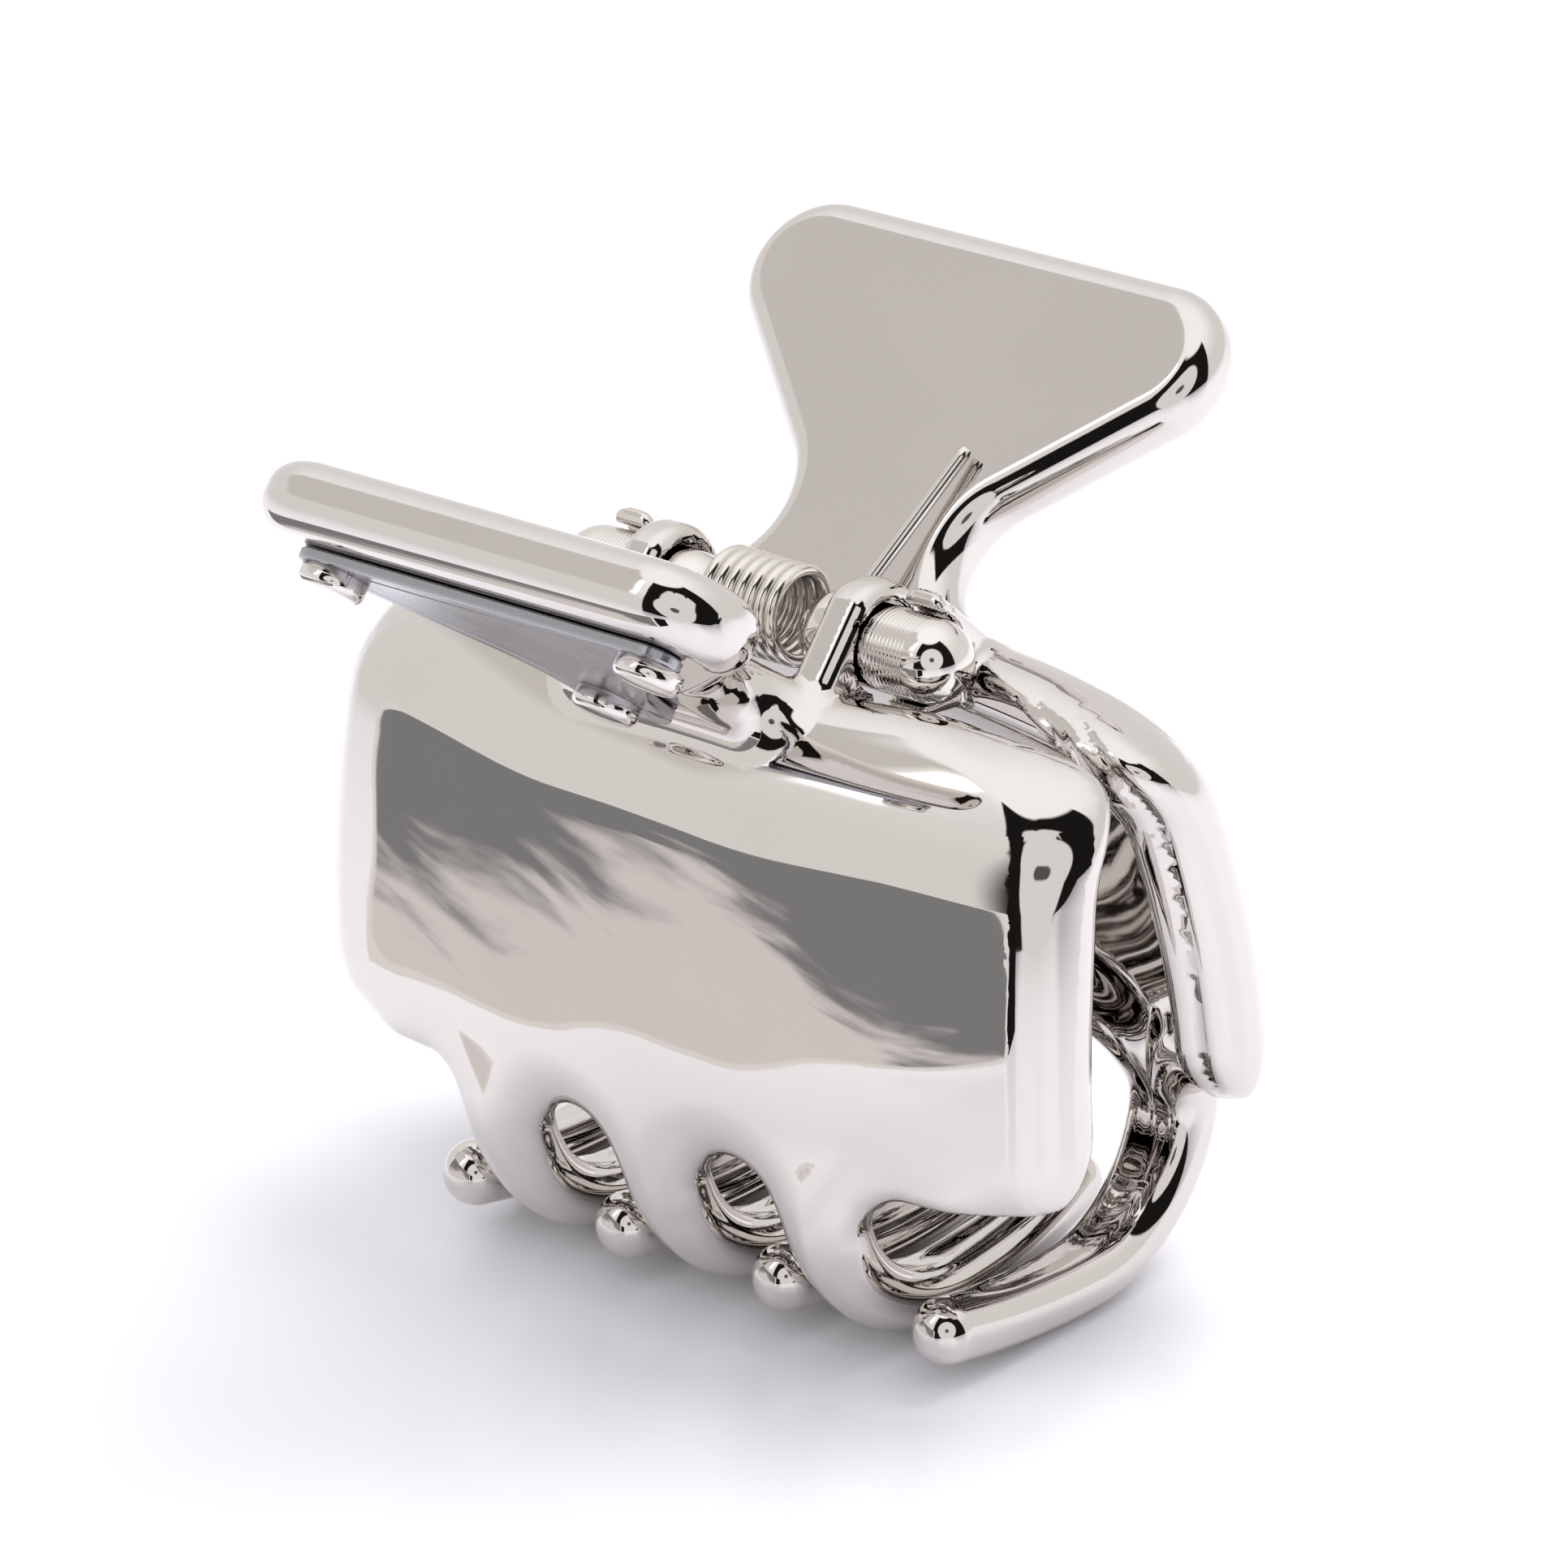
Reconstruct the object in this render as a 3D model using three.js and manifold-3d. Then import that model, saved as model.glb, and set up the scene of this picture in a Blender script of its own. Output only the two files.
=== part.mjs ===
// Metal hair claw: two mirrored jaws with interleaved curved teeth, squeezed open by two
// flared thumb handles against a torsion spring. Millimetres, +Z up, the clip standing on its
// teeth, X along the hinge axis, the badged handle towards -Y. The origin is the middle of the
// footprint on the table.
import * as THREE from 'three';
import { mergeVertices } from 'three/addons/utils/BufferGeometryUtils.js';
import Module from 'manifold-3d';

const wasm = await Module();
wasm.setup();

const DEG = Math.PI / 180;

// ---- driving dimensions ----
const JAW_WIDTH = 46;             // overall width of a jaw plate, along the hinge axis
const TOOTH_PITCH = 10;           // centre to centre of the teeth of one jaw
const FRONT_TEETH = 3;
const BACK_TEETH = 4;
const GAP = 0.25;                 // clearance between separate pieces that meet

// handle: a flat flared paddle with a fully rounded rim
const HANDLE_THICKNESS = 3.6;
const HANDLE_HALF_WIDTH = 14.2;
const HANDLE_LENGTH = 20.6;       // bend to outer edge, along the slope
const HANDLE_SLOPE = 42.4 * DEG;  // rise above horizontal
const HANDLE_CORNER_R = 4.0;
const NECK_HALF_WIDTH = 5.6;
const NECK_HEIGHT = 4.9;          // narrowest place, measured from the bend along the slope
const NECK_R = 4.0;
const RIM_BEVEL = 1.6;
const BEND_OVERLAP = 0.4;         // how far the handle runs on into the bend of the plate

// jaw plate: a shallow tray, domed outside, open towards the hair
const BEND = { y: 4.8, z: -2.5 }; // where handle and plate meet, from the hinge axis
const PLATE_TOP = -0.7;
const PLATE_BOTTOM = -22.9;
const PLATE_TOP_R = 4.5;
const PLATE_BOTTOM_R = 2.8;
const PLATE_FACE = 11.95;         // farthest the plate's face stands from the hinge axis
const RIM_WIDTH = 2.4;
const PLATE_WALL = 1.9;
const WRAP = { x: 7.6, y: 6.6 };  // reach of the rounded end, seen from above
const WRAP_SQUARENESS = { x: 0.8, y: 0.9 }; // 1 is a plain ellipse, less is squarer
const OPEN_SIDE = -8;             // a plane well behind the plate, on the side of the hair
const CAVITY_TOP_R = 3.0;
const CAVITY_BOTTOM_R = 1.6;

// teeth: a tight arc down from the plate, then a long shallow one up to a round tip
const TOOTH_WIDTH = 4.2;
const TOOTH_ROOT_WIDTH = 4.8;
const TOOTH_BEVEL = 1.2;
const TOOTH_ROOT_HALF = 1.9;      // half thickness at the root
const TOOTH_TIP_HALF = 1.65;
const TOOTH_START = { y: 9.9, z: -21.4 };
const TOOTH_HEADING = -76 * DEG;
const TOOTH_BEND_R = 8.2;
const TOOTH_TAIL_R = 36;
const TOOTH_TAIL_SWEEP = 15.2 * DEG;
const STUB_BOTTOM = -26.6;

// hinge: two domed stub pins, straps of the front jaw over them, saddles of the back jaw under
const PIN_R = 2.05;
const PIN_INNER_END = 2.7;
const PIN_OUTER_END = 12.3;
const STRAP_X = [5.2, 7.5];
const SADDLE_X = [7.9, 10.3];
const EAR_THICKNESS = 0.85;
const STRAP_ARC = [-20 * DEG, 215 * DEG];
const SADDLE_ARC = [-110 * DEG, 70 * DEG];
const WEB_FOOT = 1.4;             // where the web's lower edge leaves the band, along Y
const WEB_TOP = { y: 2.2, z: 1.2 };
const WEB_DEPTH = { under: 1.8, over: 0.6 }; // the web's edges either side of the bend

// torsion spring
const WIRE_R = 0.33;
const COIL_R = 2.15;              // to the middle of the wire
const COIL_PITCH = 0.69;
const COIL_FULL_TURNS = 7;
const COIL_LIFT = 0.4;            // the coil rides a little above the pins' axis
const LEG_LENGTH = 11.2;
const LEG_DRIFT = 0.16;           // how far a leg leans sideways for each millimetre of its run

// badge on the front handle's outer face
const BADGE_INSET = 2.7;
const BADGE_THICKNESS = 0.6;
const BADGE_TONGUE = 5.9;         // middle of the tongue's round end, from the bend
const STUD_R = 1.65;
const STUD_HEIGHT = 1.0;
const STUD_EDGE_R = 0.5;
const STUD_CROWN = 0.1;           // the middle of the head stands this much higher
const SHANK_OVERLAP = 0.3;        // the shank runs this far into the head
const SHANK_R = 0.7;
const SHANK_LENGTH = 2.2;
const STUD_UPPER = { x: 9.8, t: 16.1 };
const STUD_LOWER = { x: 0, t: 6.2 };

// the lowest point of a tooth touches the table
const toothBendCentre = {
  y: TOOTH_START.y + TOOTH_BEND_R * Math.sin(TOOTH_HEADING),
  z: TOOTH_START.z - TOOTH_BEND_R * Math.cos(TOOTH_HEADING),
};
const toothBendSweep = Math.PI + TOOTH_HEADING;
const toothLength = TOOTH_BEND_R * toothBendSweep + TOOTH_TAIL_R * TOOTH_TAIL_SWEEP;
const bottomShare = (TOOTH_BEND_R * toothBendSweep) / toothLength;
const toothHalf = (share) => TOOTH_ROOT_HALF + (TOOTH_TIP_HALF - TOOTH_ROOT_HALF) * share;
const HINGE_HEIGHT = -(toothBendCentre.z - TOOTH_BEND_R - toothHalf(bottomShare));

// ---- geometry helpers ----
function solidFrom(geometry, matrix) {
  const plain = geometry.clone();
  plain.deleteAttribute('normal');
  plain.deleteAttribute('uv');
  const merged = mergeVertices(plain, 1e-4);
  if (matrix) merged.applyMatrix4(matrix);
  const mesh = new wasm.Mesh({
    numProp: 3,
    vertProperties: new Float32Array(merged.attributes.position.array),
    triVerts: new Uint32Array(merged.index.array),
  });
  return new wasm.Manifold(mesh);
}

function geometryFrom(solid) {
  const mesh = solid.getMesh();
  const geometry = new THREE.BufferGeometry();
  geometry.setAttribute('position', new THREE.BufferAttribute(mesh.vertProperties, 3));
  geometry.setIndex(new THREE.BufferAttribute(mesh.triVerts, 1));
  geometry.computeVertexNormals();
  return geometry;
}

function extrude(outline, depth, options = {}) {
  const shape = new THREE.Shape(outline);
  return new THREE.ExtrudeGeometry(shape, { depth, bevelEnabled: false, steps: 1, ...options });
}

const axes = (x, y, z) => new THREE.Matrix4().makeBasis(
  new THREE.Vector3(...x), new THREE.Vector3(...y), new THREE.Vector3(...z));

// an outline drawn in (y, z) and extruded along X between two places
function alongX(outline, from, to, options) {
  const bevel = options ? options.bevelThickness : 0;
  const geometry = extrude(outline, to - from - 2 * bevel, options);
  const matrix = axes([0, 1, 0], [0, 0, 1], [1, 0, 0]);
  matrix.setPosition(from + bevel, 0, 0);
  return solidFrom(geometry, matrix);
}

// an outline drawn in (x, z) and extruded along Y
function alongY(outline, from, to) {
  const matrix = axes([1, 0, 0], [0, 0, 1], [0, -1, 0]);
  matrix.setPosition(0, to, 0);
  return solidFrom(extrude(outline, to - from), matrix);
}

// an outline drawn in (x, y) and extruded along Z
function alongZ(outline, from, to) {
  return solidFrom(extrude(outline, to - from), new THREE.Matrix4().makeTranslation(0, 0, from));
}

function arc(cx, cy, radius, start, end, segments) {
  const points = [];
  for (let i = 0; i <= segments; i += 1) {
    const angle = start + ((end - start) * i) / segments;
    points.push(new THREE.Vector2(cx + radius * Math.cos(angle), cy + radius * Math.sin(angle)));
  }
  return points;
}

// mirror a right-hand outline that runs from the top centre line to the bottom one
function mirrored(right) {
  const left = right.map((p) => new THREE.Vector2(-p.x, p.y)).reverse();
  const points = right.concat(left);
  return points.filter((p, i) => p.distanceTo(points[(i + 1) % points.length]) > 1e-3).reverse();
}

// ---- handle ----
// a place on the handle: x across, t up the slope from the bend, n out of the inner face
const slopeDirection = [0, Math.cos(HANDLE_SLOPE), Math.sin(HANDLE_SLOPE)];
const innerNormal = [0, -Math.sin(HANDLE_SLOPE), Math.cos(HANDLE_SLOPE)];
const handleFrame = axes([1, 0, 0], slopeDirection, innerNormal);
handleFrame.setPosition(0, BEND.y, BEND.z);

// the flared flank: a convex corner arc, a straight flank and a concave neck arc
function flank(inset, neckEnd) {
  const corner = { x: HANDLE_HALF_WIDTH - HANDLE_CORNER_R, t: HANDLE_LENGTH - HANDLE_CORNER_R };
  const neck = { x: NECK_HALF_WIDTH + NECK_R, t: NECK_HEIGHT };
  const span = Math.hypot(neck.x - corner.x, neck.t - corner.t);
  const towardsNeck = Math.atan2(neck.t - corner.t, neck.x - corner.x);
  const normal = towardsNeck + Math.acos((HANDLE_CORNER_R + NECK_R) / span);
  return [
    ...arc(corner.x, corner.t, HANDLE_CORNER_R - inset, Math.PI / 2, normal, 8),
    ...arc(neck.x, neck.t, NECK_R + inset, normal + Math.PI, neckEnd, 7),
  ];
}

function handleSolid() {
  const shoulderX = NECK_HALF_WIDTH + NECK_R;
  const right = [...flank(0, 1.5 * Math.PI), new THREE.Vector2(shoulderX, -NECK_R)];
  const geometry = extrude(mirrored(right), HANDLE_THICKNESS - 2 * RIM_BEVEL, {
    bevelEnabled: true,
    bevelThickness: RIM_BEVEL,
    bevelSize: RIM_BEVEL,
    bevelOffset: -RIM_BEVEL,
    bevelSegments: 3,
  });
  geometry.translate(0, 0, RIM_BEVEL - HANDLE_THICKNESS / 2);
  const height = HANDLE_LENGTH + 2 * BEND_OVERLAP;
  const kept = new THREE.BoxGeometry(4 * HANDLE_HALF_WIDTH, height, 2 * HANDLE_THICKNESS);
  kept.translate(0, height / 2 - BEND_OVERLAP, 0);
  return solidFrom(geometry, handleFrame).intersect(solidFrom(kept, handleFrame));
}

// ---- jaw plate ----
// side view of the plate's outer face, from the inner edge of the top rim down to the stubs
const faceCurve = new THREE.SplineCurve([
  new THREE.Vector2(BEND.y - 1.8, BEND.z + 0.2),
  new THREE.Vector2(BEND.y - 1.2, PLATE_TOP - 0.4),
  new THREE.Vector2(BEND.y, PLATE_TOP),
  new THREE.Vector2(BEND.y + 1.7, PLATE_TOP - 0.9),
  new THREE.Vector2(PLATE_FACE - 3.2, -4.4),
  new THREE.Vector2(PLATE_FACE - 1.3, -9.6),
  new THREE.Vector2(PLATE_FACE - 0.3, -16),
  new THREE.Vector2(PLATE_FACE, -21),
  new THREE.Vector2(PLATE_FACE - 0.2, STUB_BOTTOM + 2.6),
  new THREE.Vector2(PLATE_FACE - 0.9, STUB_BOTTOM),
]);

function facePoints(inset) {
  const steps = 18;
  const points = [];
  for (let i = 0; i <= steps; i += 1) {
    const tangent = faceCurve.getTangentAt(i / steps);
    const normal = new THREE.Vector2(tangent.y, -tangent.x).multiplyScalar(inset);
    points.push(faceCurve.getPointAt(i / steps).add(normal));
  }
  return points;
}

function plateSideOutline() {
  const inner = [
    new THREE.Vector2(PLATE_FACE - 4.2, STUB_BOTTOM),
    new THREE.Vector2(PLATE_FACE - 3.8, PLATE_BOTTOM - 0.8),
    new THREE.Vector2(PLATE_FACE - 5.8, PLATE_BOTTOM + 0.4),
    new THREE.Vector2(PLATE_FACE - 7, PLATE_BOTTOM + 2.4),
  ];
  return facePoints(0).concat(inner).reverse();
}

function cavitySideOutline() {
  const behindRim = (p) => p.x > BEND.y + 1 && p.y > PLATE_BOTTOM;
  const face = facePoints(PLATE_WALL).filter(behindRim);
  const open = [
    new THREE.Vector2(OPEN_SIDE, PLATE_BOTTOM),
    new THREE.Vector2(OPEN_SIDE, face[0].y),
  ];
  return face.concat(open).reverse();
}

// plan view: a flat face whose ends wrap round towards the hinge
function planOutline(inset) {
  const centre = { x: JAW_WIDTH / 2 - WRAP.x, y: PLATE_FACE - WRAP.y };
  const right = [];
  const steps = 8;
  for (let i = 0; i <= steps; i += 1) {
    const angle = Math.PI / 2 - (i / steps) * (Math.PI / 2);
    const x = centre.x + (WRAP.x - inset) * Math.cos(angle) ** WRAP_SQUARENESS.x;
    const y = centre.y + (WRAP.y - inset) * Math.sin(angle) ** WRAP_SQUARENESS.y;
    right.push(new THREE.Vector2(x, y));
  }
  right.push(new THREE.Vector2(JAW_WIDTH / 2 - inset, OPEN_SIDE));
  return mirrored(right);
}

const toothCentres = (count) => Array.from(
  { length: count }, (_, i) => (i - (count - 1) / 2) * TOOTH_PITCH);

// front view: a rounded rectangle with the stubs of the teeth and the arches between them
function frontOutline(centres) {
  const half = JAW_WIDTH / 2;
  const stub = TOOTH_ROOT_WIDTH / 2;
  const archR = TOOTH_PITCH / 2 - stub;
  const archZ = PLATE_BOTTOM - archR;
  const right = [
    new THREE.Vector2(0, PLATE_TOP),
    ...arc(half - PLATE_TOP_R, PLATE_TOP - PLATE_TOP_R, PLATE_TOP_R, Math.PI / 2, 0, 6),
    ...arc(half - PLATE_BOTTOM_R, PLATE_BOTTOM + PLATE_BOTTOM_R, PLATE_BOTTOM_R,
      0, -Math.PI / 2, 5),
  ];
  const fromRight = centres.filter((x) => x >= 0).reverse();
  for (const x of fromRight) {
    const outermost = x === fromRight[0];
    const archStart = outermost ? Math.PI / 2 : 0;
    if (outermost) {
      right.push(...arc(x + stub + archR, archZ, archR, archStart, Math.PI, 6));
    }
    right.push(new THREE.Vector2(x + stub, STUB_BOTTOM));
    if (x === 0) return mirrored(right);
    right.push(new THREE.Vector2(x - stub, STUB_BOTTOM));
    const archEnd = x - TOOTH_PITCH < 0 ? Math.PI / 2 : Math.PI;
    right.push(...arc(x - stub - archR, archZ, archR, 0, archEnd, archEnd > 2 ? 12 : 6));
  }
  return mirrored(right);
}

function cavityFrontOutline() {
  const half = JAW_WIDTH / 2 - RIM_WIDTH;
  const top = PLATE_TOP - RIM_WIDTH;
  const bottom = PLATE_BOTTOM + RIM_WIDTH;
  return mirrored([
    new THREE.Vector2(0, top),
    ...arc(half - CAVITY_TOP_R, top - CAVITY_TOP_R, CAVITY_TOP_R, Math.PI / 2, 0, 6),
    ...arc(half - CAVITY_BOTTOM_R, bottom + CAVITY_BOTTOM_R, CAVITY_BOTTOM_R,
      0, -Math.PI / 2, 4),
    new THREE.Vector2(0, bottom),
  ]);
}

function plateSolid(centres) {
  const reach = JAW_WIDTH / 2 + 1;
  const outer = alongX(plateSideOutline(), -reach, reach)
    .intersect(alongZ(planOutline(0), STUB_BOTTOM - 1, 1))
    .intersect(alongY(frontOutline(centres), OPEN_SIDE, PLATE_FACE + 1));
  const cavity = alongX(cavitySideOutline(), -reach, reach)
    .intersect(alongZ(planOutline(PLATE_WALL), STUB_BOTTOM - 1, 1))
    .intersect(alongY(cavityFrontOutline(), OPEN_SIDE, PLATE_FACE + 1));
  return outer.subtract(cavity);
}

// ---- teeth ----
// centre line of a tooth in side view, share 0 at the root and 1 at the tip
function toothPlace(share) {
  const run = share * toothLength;
  const bendRun = TOOTH_BEND_R * toothBendSweep;
  if (run <= bendRun) {
    const heading = TOOTH_HEADING - run / TOOTH_BEND_R;
    const y = toothBendCentre.y - TOOTH_BEND_R * Math.sin(heading);
    return { y, z: toothBendCentre.z + TOOTH_BEND_R * Math.cos(heading), heading };
  }
  const heading = -Math.PI - (run - bendRun) / TOOTH_TAIL_R;
  const tailZ = toothBendCentre.z - TOOTH_BEND_R + TOOTH_TAIL_R;
  const y = toothBendCentre.y - TOOTH_TAIL_R * Math.sin(heading);
  return { y, z: tailZ + TOOTH_TAIL_R * Math.cos(heading), heading };
}

function toothOutline() {
  const steps = 14;
  const outer = [];
  const inner = [];
  for (let i = 0; i <= steps; i += 1) {
    const share = i / steps;
    const { y, z, heading } = toothPlace(share);
    const side = [-Math.sin(heading) * toothHalf(share), Math.cos(heading) * toothHalf(share)];
    outer.push(new THREE.Vector2(y + side[0], z + side[1]));
    inner.push(new THREE.Vector2(y - side[0], z - side[1]));
  }
  const tip = toothPlace(1);
  const cap = arc(tip.y, tip.z, TOOTH_TIP_HALF, tip.heading + Math.PI / 2,
    tip.heading - Math.PI / 2, 8).slice(1, -1);
  return outer.concat(cap, inner.reverse()).reverse();
}

function toothSolid(x) {
  return alongX(toothOutline(), x - TOOTH_WIDTH / 2, x + TOOTH_WIDTH / 2, {
    bevelEnabled: true,
    bevelThickness: TOOTH_BEVEL,
    bevelSize: TOOTH_BEVEL,
    bevelOffset: -TOOTH_BEVEL,
    bevelSegments: 2,
  });
}

// ---- hinge ears ----
// a band round the pin with a web back to the bend of its jaw
function earOutline(start, end) {
  const innerR = PIN_R + GAP;
  return arc(0, 0, innerR + EAR_THICKNESS, start, end, 18)
    .concat(arc(0, 0, innerR, end, start, 18));
}

function earSolids(from, to, start, end) {
  const web = [
    new THREE.Vector2(WEB_FOOT, -PIN_R - GAP - EAR_THICKNESS),
    new THREE.Vector2(BEND.y, BEND.z - WEB_DEPTH.under),
    new THREE.Vector2(BEND.y, BEND.z + WEB_DEPTH.over),
    new THREE.Vector2(WEB_TOP.y, WEB_TOP.z),
  ];
  const bore = arc(0, 0, PIN_R + GAP, 0, 2 * Math.PI, 24).slice(0, -1);
  const ear = (low, high) => alongX(web, low, high)
    .subtract(alongX(bore, low - 1, high + 1))
    .add(alongX(earOutline(start, end), low, high));
  return ear(from, to).add(ear(-to, -from));
}

// ---- castings, both drawn on the +Y side ----
function casting(count, earRange, earArc) {
  const centres = toothCentres(count);
  let solid = plateSolid(centres).add(handleSolid());
  for (const x of centres) solid = solid.add(toothSolid(x));
  return solid.add(earSolids(...earRange, ...earArc));
}

const studPlaces = {
  badge_stud_left: { x: -STUD_UPPER.x, t: STUD_UPPER.t },
  badge_stud_right: { x: STUD_UPPER.x, t: STUD_UPPER.t },
  badge_stud_lower: { x: STUD_LOWER.x, t: STUD_LOWER.t },
};

// a round bar standing on the handle's slope, along its normal
function barOnHandle(place, radius, from, to) {
  const bar = new THREE.CylinderGeometry(radius, radius, to - from, 16);
  bar.rotateX(Math.PI / 2);
  bar.translate(place.x, place.t, (from + to) / 2);
  return solidFrom(bar, handleFrame);
}

function frontJawSolid() {
  let solid = casting(FRONT_TEETH, STRAP_X, STRAP_ARC);
  const face = -HANDLE_THICKNESS / 2;
  for (const place of Object.values(studPlaces)) {
    solid = solid.subtract(barOnHandle(place, SHANK_R + GAP, face - 1, face + SHANK_LENGTH));
  }
  return solid;
}

function backJawSolid() {
  return casting(BACK_TEETH, SADDLE_X, SADDLE_ARC);
}

// ---- small pieces ----
function pinGeometry() {
  const profile = arc(0, PIN_R, PIN_R, -Math.PI / 2, 0, 6)
    .concat(arc(0, PIN_OUTER_END - PIN_INNER_END - PIN_R, PIN_R, 0, Math.PI / 2, 6));
  profile[0].x = 0;
  profile[profile.length - 1].x = 0;
  const pin = new THREE.LatheGeometry(profile, 28);
  pin.rotateZ(-Math.PI / 2);
  return geometryFrom(solidFrom(pin));
}

// the wire: front leg down to the coil, round the coil, back leg up to its tip
class SpringPath extends THREE.Curve {
  constructor() {
    super();
    const faceDistance = BEND.y * Math.sin(HANDLE_SLOPE) - BEND.z * Math.cos(HANDLE_SLOPE)
      - HANDLE_THICKNESS / 2 + COIL_LIFT * Math.cos(HANDLE_SLOPE);
    const reach = faceDistance - WIRE_R - GAP - COIL_R;
    const lean = Math.asin(reach / LEG_LENGTH);
    this.legAngle = HANDLE_SLOPE - lean;
    this.startAngle = 1.5 * Math.PI - this.legAngle;
    this.sweep = 2 * Math.PI * COIL_FULL_TURNS + 2 * this.legAngle;
    this.coilLength = COIL_R * this.sweep;
    this.total = this.coilLength + 2 * LEG_LENGTH;
    this.width = (COIL_PITCH * this.sweep) / (2 * Math.PI);
  }

  getPoint(u, target = new THREE.Vector3()) {
    const run = u * this.total - LEG_LENGTH;
    const along = THREE.MathUtils.clamp(run, 0, this.coilLength);
    const angle = this.startAngle + along / COIL_R;
    const spare = run - along;
    const x = (along / this.coilLength - 0.5) * this.width + spare * LEG_DRIFT;
    const y = COIL_R * Math.cos(angle) - spare * Math.sin(angle);
    const z = COIL_LIFT + COIL_R * Math.sin(angle) + spare * Math.cos(angle);
    return target.set(x, y, z);
  }
}

function springGeometry() {
  const ring = arc(0, 0, WIRE_R, 0, 2 * Math.PI, 6).slice(0, -1);
  const wire = new THREE.ExtrudeGeometry(new THREE.Shape(ring), {
    steps: 150, extrudePath: new SpringPath(), bevelEnabled: false,
  });
  return geometryFrom(solidFrom(wire));
}

const badgeBack = -HANDLE_THICKNESS / 2 - GAP;

function badgeGeometry() {
  const tongueR = NECK_HALF_WIDTH - BADGE_INSET;
  const right = [
    ...flank(BADGE_INSET, Math.PI),
    ...arc(0, BADGE_TONGUE, tongueR, 0, -Math.PI / 2, 6),
  ];
  const plate = extrude(mirrored(right), BADGE_THICKNESS);
  plate.translate(0, 0, badgeBack - BADGE_THICKNESS);
  let solid = solidFrom(plate, handleFrame);
  for (const place of Object.values(studPlaces)) {
    solid = solid.subtract(barOnHandle(place, SHANK_R + GAP, badgeBack - 2, badgeBack + 2));
  }
  return geometryFrom(solid);
}

function studGeometry(place) {
  const flat = STUD_HEIGHT - STUD_EDGE_R;
  const profile = [
    new THREE.Vector2(0, 0),
    new THREE.Vector2(STUD_R, 0),
    ...arc(STUD_R - STUD_EDGE_R, flat, STUD_EDGE_R, 0, Math.PI / 2, 3),
    new THREE.Vector2(0, STUD_HEIGHT + STUD_CROWN),
  ];
  const head = new THREE.LatheGeometry(profile, 24);
  head.rotateX(-Math.PI / 2);
  const under = badgeBack - BADGE_THICKNESS - GAP;
  head.translate(place.x, place.t, under);
  const shankTop = -HANDLE_THICKNESS / 2 + SHANK_LENGTH - GAP;
  const shank = barOnHandle(place, SHANK_R, under - SHANK_OVERLAP, shankTop);
  return geometryFrom(solidFrom(head, handleFrame).add(shank));
}

// ---- the scene graph ----
const polished = (color, roughness) => new THREE.MeshStandardMaterial(
  { color, roughness, metalness: 1 });

function named(name, geometry, material) {
  const mesh = new THREE.Mesh(geometry, material);
  mesh.name = name;
  return mesh;
}

const clip = new THREE.Group();
clip.position.z = HINGE_HEIGHT;

clip.add(named('back_jaw', geometryFrom(backJawSolid()), polished(0xd8d2cc, 0.06)));
clip.add(named('torsion_spring', springGeometry(), polished(0xcfcac2, 0.2)));

const rightPin = named('hinge_pin_right', pinGeometry(), polished(0xd2cdc6, 0.12));
rightPin.position.x = PIN_INNER_END;
clip.add(rightPin);

const leftPin = named('hinge_pin_left', pinGeometry(), polished(0xd2cdc6, 0.12));
leftPin.position.x = -PIN_INNER_END;
leftPin.rotation.z = Math.PI;
clip.add(leftPin);

// the front jaw and its badge are the same drawing turned half a turn about Z
const frontHalf = new THREE.Group();
frontHalf.rotation.z = Math.PI;
frontHalf.add(named('front_jaw', geometryFrom(frontJawSolid()), polished(0xd8d2cc, 0.06)));
frontHalf.add(named('badge_plate', badgeGeometry(), polished(0x8d8a8c, 0.25)));
for (const [name, place] of Object.entries(studPlaces)) {
  const turned = { x: -place.x, t: place.t };
  frontHalf.add(named(name, studGeometry(turned), polished(0xd6d0c8, 0.1)));
}
clip.add(frontHalf);

export default clip;
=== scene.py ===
# Metal hair claw, looks only: smooth castings, pins, wire spring and badge on the CAD frame.
# Shapes are worked out in millimetres from the hinge axis (x along the axis, y out of the
# jaw being drawn, z up) and placed in the CAD frame in metres.
import math

import bpy
import numpy as np
from mathutils import Matrix, Vector


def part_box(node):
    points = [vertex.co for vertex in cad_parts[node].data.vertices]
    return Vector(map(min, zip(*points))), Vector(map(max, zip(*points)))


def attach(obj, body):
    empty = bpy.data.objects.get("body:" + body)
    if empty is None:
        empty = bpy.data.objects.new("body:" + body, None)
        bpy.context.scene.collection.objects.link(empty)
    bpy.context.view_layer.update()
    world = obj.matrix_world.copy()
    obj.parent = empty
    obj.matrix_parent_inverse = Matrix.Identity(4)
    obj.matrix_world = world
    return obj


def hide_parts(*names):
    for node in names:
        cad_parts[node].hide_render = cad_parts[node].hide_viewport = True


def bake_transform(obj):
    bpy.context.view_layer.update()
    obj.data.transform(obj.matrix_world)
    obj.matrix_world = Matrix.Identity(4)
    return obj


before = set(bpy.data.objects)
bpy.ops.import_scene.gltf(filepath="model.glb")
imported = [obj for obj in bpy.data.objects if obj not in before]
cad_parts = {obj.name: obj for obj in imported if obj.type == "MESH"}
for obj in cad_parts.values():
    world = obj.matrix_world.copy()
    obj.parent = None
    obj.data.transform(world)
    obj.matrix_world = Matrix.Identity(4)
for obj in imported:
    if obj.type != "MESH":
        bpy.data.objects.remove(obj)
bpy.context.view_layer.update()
MM = 0.001
DEG = math.pi / 180
pin_low, pin_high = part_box("hinge_pin_right")
HINGE_Z = (pin_low.z + pin_high.z) / 2 / MM      # height of the hinge axis above the table

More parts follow.
